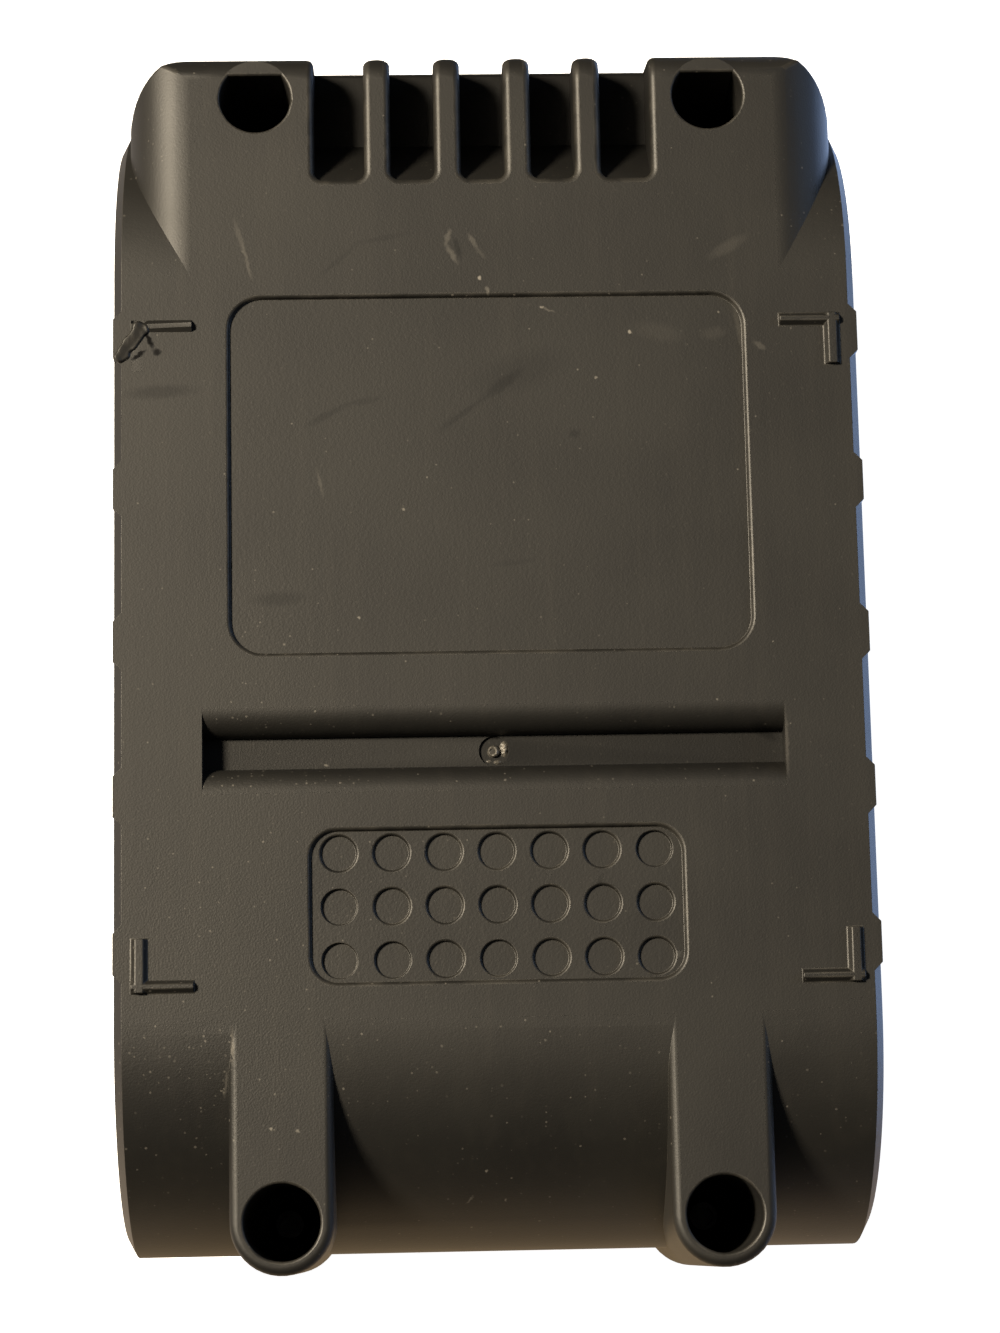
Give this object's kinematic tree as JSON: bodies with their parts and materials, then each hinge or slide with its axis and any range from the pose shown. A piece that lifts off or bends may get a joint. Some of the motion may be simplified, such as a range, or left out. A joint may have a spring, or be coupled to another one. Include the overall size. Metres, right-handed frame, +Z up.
{
  "type": "power tool battery pack",
  "caption": "Slide-on battery pack for power tools: two-shell plastic case with slide rails, round cells, contacts, sprung release latch and charge gauge.",
  "frame": {"origin": "on the surface that the pack lies on, under the middle of its bounding box; the pack lies on its slide rails with its flat underside up, as pictured", "axes": "+X across the pack, +Y along it towards the vented end and away from the release button, +Z up from the slide rails to the flat underside"},
  "size_m": [0.075, 0.1229, 0.0626],
  "materials": {
    "case_plastic": "worn matt moulded black",
    "holder_plastic": "plain moulded dark grey",
    "cell_wrap": "shrink wrap",
    "nickel_strip": "bare rolled nickel",
    "insulating_card": "pressed card",
    "circuit_board": "solder mask",
    "chip_body": "moulded epoxy",
    "capacitor_can": "drawn can",
    "screw_steel": "blackened",
    "contact_copper": "tinned copper alloy",
    "spring_steel": "bright drawn wire",
    "button_plastic": "moulded grey",
    "led_body": "diffusing",
    "gauge_window": "smoked clear plastic"
  },
  "bodies": {
    "pack": {"lower_case": "case_plastic", "upper_case": "case_plastic", "cell_holder_left": "holder_plastic", "cell_holder_right": "holder_plastic", "cell_1": "cell_wrap", "cell_2": "cell_wrap", "cell_3": "cell_wrap", "cell_4": "cell_wrap", "cell_5": "cell_wrap", "cell_6": "cell_wrap", "cell_7": "cell_wrap", "cell_8": "cell_wrap", "cell_9": "cell_wrap", "cell_10": "cell_wrap", "strip_left_1": "nickel_strip", "strip_left_2": "nickel_strip", "strip_left_3": "nickel_strip", "strip_right_1": "nickel_strip", "strip_right_2": "nickel_strip", "strip_right_3": "nickel_strip", "insulator_left": "insulating_card", "insulator_right": "insulating_card", "control_board": "circuit_board", "monitor_chip": "chip_body", "board_capacitors": "capacitor_can", "thermistor": "chip_body", "board_screws": "screw_steel", "terminal_block": "holder_plastic", "terminal_plus": "contact_copper", "terminal_minus": "contact_copper", "signal_terminals": "contact_copper", "release_springs": "spring_steel", "gauge_board": "circuit_board", "gauge_leds": "led_body", "gauge_switch": "chip_body", "gauge_lens": "gauge_window", "case_screws": "screw_steel"},
    "release": {"release_button": "button_plastic"},
    "gauge_key": {"gauge_button": "button_plastic"}
  },
  "joints": [
    {"name": "release_press", "type": "slide", "parent": "pack", "child": "release", "axis": [0, 0, 1], "range_m": [0, 0.0045], "stiffness_N_per_m": 900, "springref_m": -0.003, "deforming": ["release_springs"]},
    {"name": "gauge_press", "type": "slide", "parent": "pack", "child": "gauge_key", "axis": [0, -1, 0], "range_m": [0, 0.0008], "stiffness_N_per_m": 1500}
  ]
}
